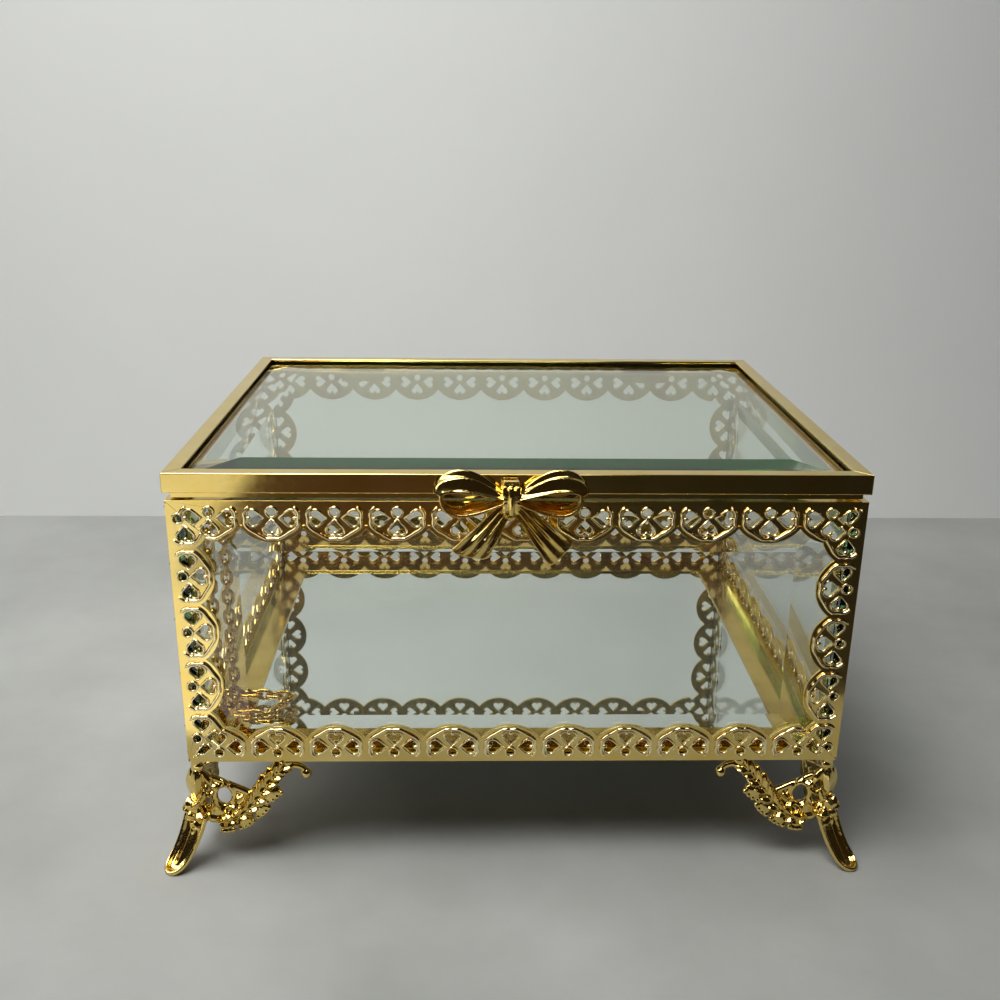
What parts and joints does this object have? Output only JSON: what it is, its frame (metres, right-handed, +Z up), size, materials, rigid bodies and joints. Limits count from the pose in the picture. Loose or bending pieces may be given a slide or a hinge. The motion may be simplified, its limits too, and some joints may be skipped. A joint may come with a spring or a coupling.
{
  "type": "glass casket box",
  "caption": "Rectangular casket of bevelled glass panels in a stamped gold lace frame, with a hinged glass lid, bow knob, mirror floor, stay chain and four leaf feet.",
  "frame": {"origin": "middle of the box, on the surface that the four feet stand on", "axes": "+X to the right of the front, +Y towards the hinges at the back, +Z up"},
  "size_m": [0.192, 0.1546, 0.1148],
  "materials": {
    "gold": "polished",
    "gold_chain": "polished",
    "glass": "clear",
    "mirror": "polished"
  },
  "bodies": {
    "casket_body": {"mirror_plate": "mirror", "mirror_channel_front": "gold", "mirror_channel_right": "gold", "mirror_channel_back": "gold", "mirror_channel_left": "gold", "glass_front": "glass", "glass_right": "glass", "glass_back": "glass", "glass_left": "glass", "bottom_rail_front": "gold", "bottom_rail_right": "gold", "bottom_rail_back": "gold", "bottom_rail_left": "gold", "top_rail_front": "gold", "top_rail_right": "gold", "top_rail_back": "gold", "top_rail_left": "gold", "corner_post_fl": "gold", "corner_post_fr": "gold", "corner_post_br": "gold", "corner_post_bl": "gold", "foot_fl": "gold", "foot_fr": "gold", "foot_br": "gold", "foot_bl": "gold", "hinge_leaf_body_left": "gold", "hinge_pin_left": "gold", "hinge_leaf_body_right": "gold", "hinge_pin_right": "gold", "chain_lug_body": "gold_chain"},
    "lid": {"lid_glass": "glass", "lid_rail_front": "gold", "lid_rail_right": "gold", "lid_rail_back": "gold", "lid_rail_left": "gold", "bow_knob": "gold", "hinge_leaf_lid_left": "gold", "hinge_leaf_lid_right": "gold", "chain_lug_lid": "gold_chain"},
    "chain_body_strand": {"chain_strand_body": "gold_chain"},
    "chain_run_1": {"chain_heap_1": "gold_chain"},
    "chain_run_2": {"chain_heap_2": "gold_chain"},
    "chain_run_3": {"chain_heap_3": "gold_chain"},
    "chain_run_4": {"chain_heap_4": "gold_chain"},
    "chain_lid_strand": {"chain_strand_lid": "gold_chain"}
  },
  "joints": [
    {"name": "lid_hinge", "type": "hinge", "parent": "casket_body", "child": "lid", "pos_m": [0, 0.0716, 0.1066], "axis": [-1, 0, 0], "range_deg": [0, 93.9]},
    {"name": "chain_body_swing", "type": "hinge", "parent": "casket_body", "child": "chain_body_strand", "pos_m": [-0.0816, -0.0493, 0.10175], "axis": [0.9994, -0.0346, 0], "range_deg": [0, 134.7]},
    {"name": "chain_run_1_turn", "type": "hinge", "parent": "chain_body_strand", "child": "chain_run_1", "pos_m": [-0.0816, -0.0493, 0.03685], "axis": [-1, 0, 0], "range_deg": [0, 90.1]},
    {"name": "chain_run_2_turn", "type": "hinge", "parent": "chain_run_1", "child": "chain_run_2", "pos_m": [-0.0816, -0.04045, 0.03685], "axis": [0, 0, 1], "range_deg": [0, 98.1]},
    {"name": "chain_run_3_turn", "type": "hinge", "parent": "chain_run_2", "child": "chain_run_3", "pos_m": [-0.06407, -0.04291, 0.03685], "axis": [0, 0, 1], "range_deg": [0, 104.1]},
    {"name": "chain_run_4_turn", "type": "hinge", "parent": "chain_run_3", "child": "chain_run_4", "pos_m": [-0.06849, -0.05385, 0.03685], "axis": [0, 0, 1], "range_deg": [0, 76.1]},
    {"name": "chain_lid_swing", "type": "hinge", "parent": "lid", "child": "chain_lid_strand", "pos_m": [-0.0772, -0.0493, 0.10455], "axis": [0.9995, 0.0221, 0.0237], "range_deg": [0, 48.7]}
  ],
  "couplings": [
    {"joint": "chain_body_swing", "follows": "lid_hinge", "ratio": 1.433},
    {"joint": "chain_run_1_turn", "follows": "lid_hinge", "ratio": 0.95799},
    {"joint": "chain_run_2_turn", "follows": "lid_hinge", "ratio": 1.0431},
    {"joint": "chain_run_3_turn", "follows": "lid_hinge", "ratio": 1.107},
    {"joint": "chain_run_4_turn", "follows": "lid_hinge", "ratio": 0.80897},
    {"joint": "chain_lid_swing", "follows": "lid_hinge", "ratio": 0.51753}
  ]
}
